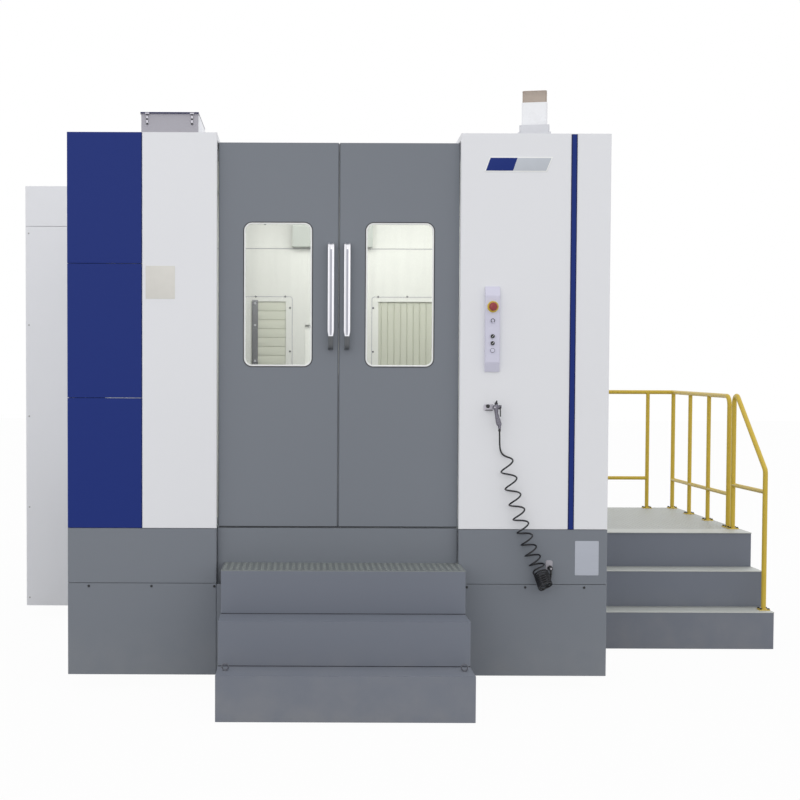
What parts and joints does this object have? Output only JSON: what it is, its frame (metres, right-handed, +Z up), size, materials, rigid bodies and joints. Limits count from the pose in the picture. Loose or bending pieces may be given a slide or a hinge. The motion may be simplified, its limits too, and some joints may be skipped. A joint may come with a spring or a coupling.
{
  "type": "horizontal machining centre",
  "caption": "Enclosed horizontal machining centre with sliding doors, front steps, side platform with guardrails, control strip, air gun and curly hose.",
  "frame": {"origin": "middle of the footprint at floor level", "axes": "+X to the operator's right along the front, +Y from the front towards the back, +Z up"},
  "size_m": [5.381, 4.697, 3.605],
  "materials": {
    "white_paint": "fine textured semi-matt",
    "grey_paint": "fine textured semi-matt",
    "dark_grey_paint": "fine textured semi-matt",
    "blue_paint": "semi-gloss",
    "yellow_paint": "gloss",
    "interior_paint": "gloss",
    "cover_paint": "satin",
    "casting_paint": "semi-gloss",
    "machined_iron": "ground",
    "steel": "brushed",
    "zinc_steel": "zinc plated",
    "tread_aluminium": "raised tread pattern",
    "handle_aluminium": "satin anodised",
    "window_glass": "clear laminated",
    "light_panel": "frosted",
    "grey_plastic": "matt",
    "pale_plastic": "matt",
    "lamp_cap": "satin",
    "strip_paint": "satin",
    "yellow_plastic": "gloss",
    "red_plastic": "gloss",
    "black_plastic": "satin",
    "white_plastic": "gloss",
    "blue_plastic": "satin",
    "hose_plastic": "gloss"
  },
  "bodies": {
    "enclosure": {"machine_bed": "casting_paint", "levelling_feet": "zinc_steel", "column": "casting_paint", "blue_panels": "blue_paint", "left_front_panel": "white_paint", "right_front_panel": "white_paint", "blue_stripe": "blue_paint", "enclosure_frame": "dark_grey_paint", "plinth_panels": "grey_paint", "door_apron": "grey_paint", "door_track": "steel", "left_side_wall": "white_paint", "right_side_wall": "white_paint", "rear_wall": "white_paint", "roof_panels": "white_paint", "chamber_back_wall": "interior_paint", "chamber_liner": "interior_paint", "chip_trays": "steel", "slat_cover": "cover_paint", "ribbed_cover": "cover_paint", "work_light": "light_panel", "magazine_guard": "white_paint", "magazine_top_cover": "white_paint", "front_steps": "dark_grey_paint", "front_step_grating": "tread_aluminium", "lifting_eyes": "dark_grey_paint", "side_steps": "dark_grey_paint", "platform_deck": "tread_aluminium", "back_guardrail": "yellow_paint", "side_guardrail": "yellow_paint", "stair_handrail": "yellow_paint", "roof_box": "grey_plastic", "signal_lamp_base": "pale_plastic", "signal_lamp_body": "white_plastic", "signal_lamp_lens": "lamp_cap", "control_strip": "strip_paint", "estop_collar": "yellow_plastic", "gun_hook": "zinc_steel", "air_gun": "blue_plastic", "hose_fitting": "zinc_steel", "coil_hose": "hose_plastic"},
    "left_door": {"left_door": "grey_paint", "left_window": "window_glass", "left_handle": "handle_aluminium"},
    "right_door": {"right_door": "grey_paint", "right_window": "window_glass", "right_handle": "handle_aluminium"},
    "service_door": {"service_door": "white_paint"},
    "saddle": {"saddle": "casting_paint"},
    "table": {"table": "casting_paint"},
    "pallet": {"pallet": "machined_iron"},
    "spindle_head": {"spindle_head": "casting_paint", "head_apron": "steel"},
    "spindle": {"spindle": "steel"},
    "estop_button": {"estop_button": "red_plastic"},
    "ring_button": {"ring_button": "white_plastic"},
    "white_button": {"white_button": "white_plastic"},
    "selector_upper": {"selector_upper": "black_plastic"},
    "selector_lower": {"selector_lower": "black_plastic"},
    "gun_trigger": {"gun_trigger": "black_plastic"}
  },
  "joints": [
    {"name": "left_door_slide", "type": "slide", "parent": "enclosure", "child": "left_door", "axis": [-1, 0, 0], "range_m": [0, 0.64]},
    {"name": "right_door_slide", "type": "slide", "parent": "enclosure", "child": "right_door", "axis": [1, 0, 0], "range_m": [0, 0.64]},
    {"name": "service_door_hinge", "type": "hinge", "parent": "enclosure", "child": "service_door", "pos_m": [1.2635, 1.2425, 1.97], "axis": [0, 0, 1], "range_deg": [0, 110]},
    {"name": "saddle_slide", "type": "slide", "parent": "enclosure", "child": "saddle", "axis": [0, 1, 0], "range_m": [-0.31, 0.31]},
    {"name": "table_slide", "type": "slide", "parent": "saddle", "child": "table", "axis": [1, 0, 0], "range_m": [-0.45, 0.45]},
    {"name": "pallet_turn", "type": "hinge", "parent": "table", "child": "pallet", "pos_m": [-0.3505, -0.4815, 1.06], "axis": [0, 0, 1], "continuous": true},
    {"name": "head_slide", "type": "slide", "parent": "enclosure", "child": "spindle_head", "axis": [0, 0, 1], "range_m": [-0.35, 0.35]},
    {"name": "spindle_turn", "type": "hinge", "parent": "spindle_head", "child": "spindle", "pos_m": [-0.3505, 0.1485, 1.7], "axis": [0, -1, 0], "continuous": true},
    {"name": "estop_press", "type": "slide", "parent": "enclosure", "child": "estop_button", "axis": [0, 1, 0], "range_m": [0, 0.006]},
    {"name": "ring_button_press", "type": "slide", "parent": "enclosure", "child": "ring_button", "axis": [0, 1, 0], "range_m": [0, 0.003], "stiffness_N_per_m": 900, "springref_m": -0.001},
    {"name": "white_button_press", "type": "slide", "parent": "enclosure", "child": "white_button", "axis": [0, 1, 0], "range_m": [0, 0.003], "stiffness_N_per_m": 900, "springref_m": -0.001},
    {"name": "selector_upper_turn", "type": "hinge", "parent": "enclosure", "child": "selector_upper", "pos_m": [0.5555, -1.5815, 2.1], "axis": [0, 1, 0], "range_deg": [0, 90]},
    {"name": "selector_lower_turn", "type": "hinge", "parent": "enclosure", "child": "selector_lower", "pos_m": [0.5555, -1.5815, 2.059], "axis": [0, 1, 0], "range_deg": [0, 90]},
    {"name": "gun_trigger_pull", "type": "hinge", "parent": "enclosure", "child": "gun_trigger", "pos_m": [0.5965, -1.633, 1.688], "axis": [1, 0, 0], "range_deg": [0, 8], "stiffness_Nm_per_rad": 1.5, "springref_deg": -2.86}
  ]
}
